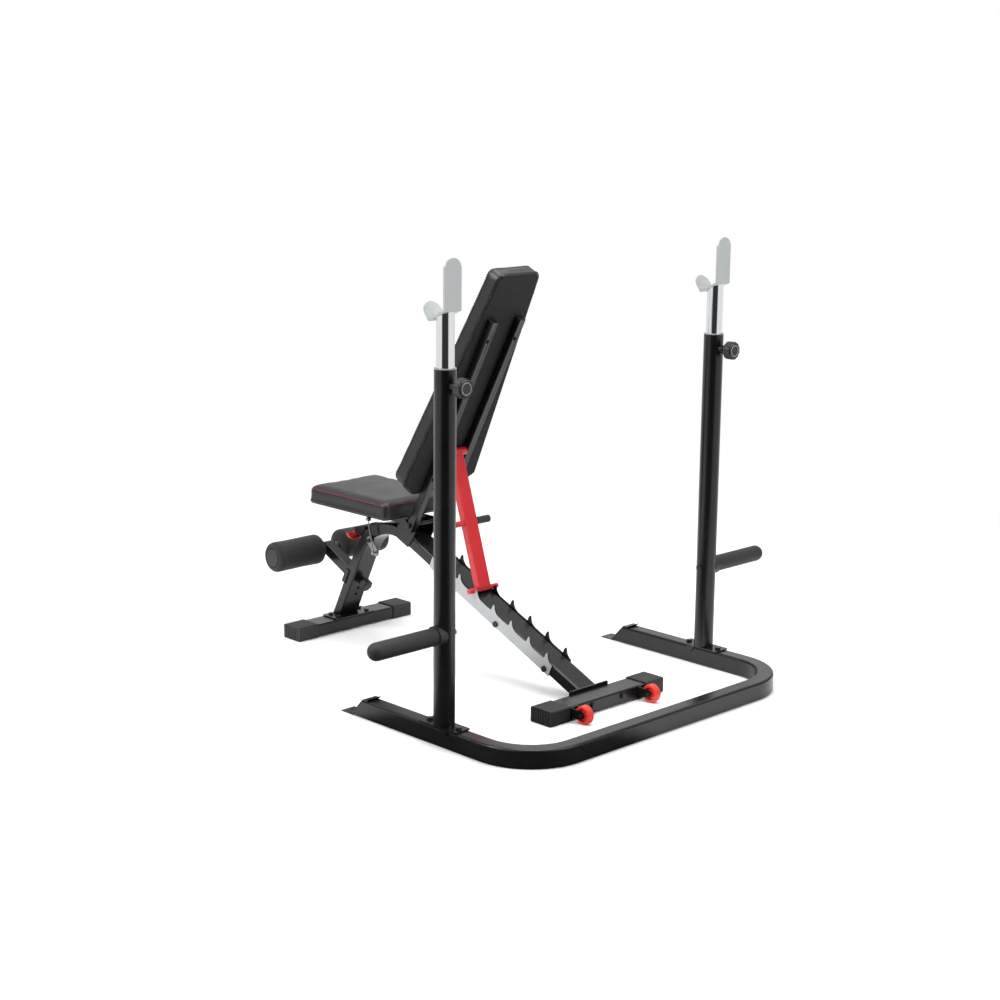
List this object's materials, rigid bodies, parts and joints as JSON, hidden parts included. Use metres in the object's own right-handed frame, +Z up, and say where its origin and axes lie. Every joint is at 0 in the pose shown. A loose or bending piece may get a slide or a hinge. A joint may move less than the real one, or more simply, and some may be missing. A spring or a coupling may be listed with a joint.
{
  "type": "bench press with squat rack",
  "caption": "Adjustable weight bench with a toothed backrest prop and leg rollers, standing in a U-based rack with telescoping bar hooks and plate pegs.",
  "frame": {"origin": "on the floor under the middle of the bounding box", "axes": "+X across the object towards the side named left; -Y towards the leg rollers, +Y towards the closed side of the rack's base; +Z up"},
  "size_m": [1.644, 1.584, 1.336],
  "materials": {
    "black_coat": "satin",
    "silver_coat": "satin",
    "pale_coat": "satin",
    "red_coat": "satin",
    "chrome": "polished",
    "zinc": "satin",
    "dark_bolt": "satin",
    "black_plastic": "matte",
    "grey_plastic": "matte",
    "red_plastic": "matte",
    "black_rubber": "matte",
    "black_foam": "matte",
    "black_vinyl": "satin",
    "lined_board": "matte"
  },
  "bodies": {
    "rack": {"base_frame": "black_coat", "base_end_covers": "black_coat", "upright_saddles": "black_coat", "uprights": "black_coat", "guide_bushes": "grey_plastic", "pin_collars": "black_coat", "peg_washers": "black_plastic", "peg_cores": "black_coat", "peg_sleeves": "black_rubber", "rack_bolts": "dark_bolt"},
    "left_post": {"left_chrome_post": "chrome", "left_bar_hook": "pale_coat"},
    "right_post": {"right_chrome_post": "chrome", "right_bar_hook": "pale_coat"},
    "left_pin": {"left_pin_knob": "black_plastic"},
    "right_pin": {"right_pin_knob": "black_plastic"},
    "bench_frame": {"main_frame": "black_coat", "ladder_plates": "silver_coat", "ladder_bolts": "dark_bolt", "front_foot": "black_coat", "rear_foot": "black_coat", "foot_caps": "black_rubber", "foot_plates": "black_coat", "foot_bolts": "dark_bolt", "wheel_brackets": "black_coat", "wheel_axles": "dark_bolt", "pivot_brackets": "black_coat", "frame_lugs": "black_coat", "pivot_bolts": "dark_bolt", "seat_side_link": "zinc", "link_low_bolt": "zinc", "seat_spring": "zinc"},
    "left_wheel": {"left_wheel": "red_plastic"},
    "right_wheel": {"right_wheel": "red_plastic"},
    "backrest": {"back_rails": "black_coat", "rail_end_caps": "black_plastic", "back_pad_bolts": "dark_bolt", "back_board": "lined_board", "back_pad": "black_vinyl", "strut_hinge_bolt": "dark_bolt"},
    "strut": {"strut_tube": "red_coat", "strut_hinge_tube": "red_coat", "strut_cross_pin": "red_coat", "strut_handle": "red_coat", "strut_grips": "black_rubber"},
    "seat": {"seat_bracket": "black_coat", "seat_board": "lined_board", "seat_pad": "black_vinyl", "seat_bolts": "dark_bolt", "spring_pin": "zinc"},
    "lever": {"release_lever": "red_plastic"},
    "leg_arm": {"leg_arm_saddle": "black_coat", "leg_arm": "black_coat", "roller_axle": "zinc"},
    "left_roller": {"left_foam_roller": "black_foam", "left_roller_cap": "black_plastic"},
    "right_roller": {"right_foam_roller": "black_foam", "right_roller_cap": "black_plastic"},
    "leg_pin": {"leg_pin_knob": "black_plastic"}
  },
  "joints": [
    {"name": "bench_roll_out", "type": "slide", "parent": "rack", "child": "bench_frame", "axis": [0, -1, 0], "range_m": [0, 0.6]},
    {"name": "left_post_lift", "type": "slide", "parent": "rack", "child": "left_post", "axis": [0, 0, 1], "range_m": [0, 0.3]},
    {"name": "right_post_lift", "type": "slide", "parent": "rack", "child": "right_post", "axis": [0, 0, 1], "range_m": [0, 0.3]},
    {"name": "left_pin_pull", "type": "slide", "parent": "rack", "child": "left_pin", "axis": [0, 1, 0], "range_m": [0, 0.012], "stiffness_N_per_m": 1500, "springref_m": -0.004},
    {"name": "right_pin_pull", "type": "slide", "parent": "rack", "child": "right_pin", "axis": [0, 1, 0], "range_m": [0, 0.012], "stiffness_N_per_m": 1500, "springref_m": -0.004},
    {"name": "backrest_hinge", "type": "hinge", "parent": "bench_frame", "child": "backrest", "pos_m": [0, -0.2545, 0.421], "axis": [1, 0, 0], "range_deg": [0, 20]},
    {"name": "strut_hinge", "type": "hinge", "parent": "backrest", "child": "strut", "pos_m": [0, -0.11767, 0.66765], "axis": [1, 0, 0], "range_deg": [-8.25, 0.3]},
    {"name": "seat_tilt", "type": "hinge", "parent": "bench_frame", "child": "seat", "pos_m": [0, -0.2945, 0.421], "axis": [-1, 0, 0], "range_deg": [0, 12], "deforming": ["seat_spring"]},
    {"name": "lever_squeeze", "type": "hinge", "parent": "bench_frame", "child": "lever", "pos_m": [0, -0.5425, 0.352], "axis": [-1, 0, 0], "range_deg": [0, 14], "stiffness_Nm_per_rad": 2, "springref_deg": -5.73},
    {"name": "leg_arm_height", "type": "slide", "parent": "bench_frame", "child": "leg_arm", "axis": [0, -0.4384, -0.8988], "range_m": [0, 0.042]},
    {"name": "leg_pin_pull", "type": "slide", "parent": "bench_frame", "child": "leg_pin", "axis": [0, 0.8988, -0.4384], "range_m": [0, 0.012], "stiffness_N_per_m": 1500, "springref_m": -0.004},
    {"name": "left_roller_spin", "type": "hinge", "parent": "leg_arm", "child": "left_roller", "pos_m": [0.13, -0.73852, 0.25463], "axis": [1, 0, 0], "continuous": true},
    {"name": "right_roller_spin", "type": "hinge", "parent": "leg_arm", "child": "right_roller", "pos_m": [-0.13, -0.73852, 0.25463], "axis": [1, 0, 0], "continuous": true},
    {"name": "left_wheel_spin", "type": "hinge", "parent": "bench_frame", "child": "left_wheel", "pos_m": [0.144, 0.5855, 0.027], "axis": [1, 0, 0], "continuous": true},
    {"name": "right_wheel_spin", "type": "hinge", "parent": "bench_frame", "child": "right_wheel", "pos_m": [-0.144, 0.5855, 0.027], "axis": [1, 0, 0], "continuous": true}
  ],
  "couplings": [
    {"joint": "strut_hinge", "follows": "backrest_hinge", "ratio": -0.3975}
  ]
}
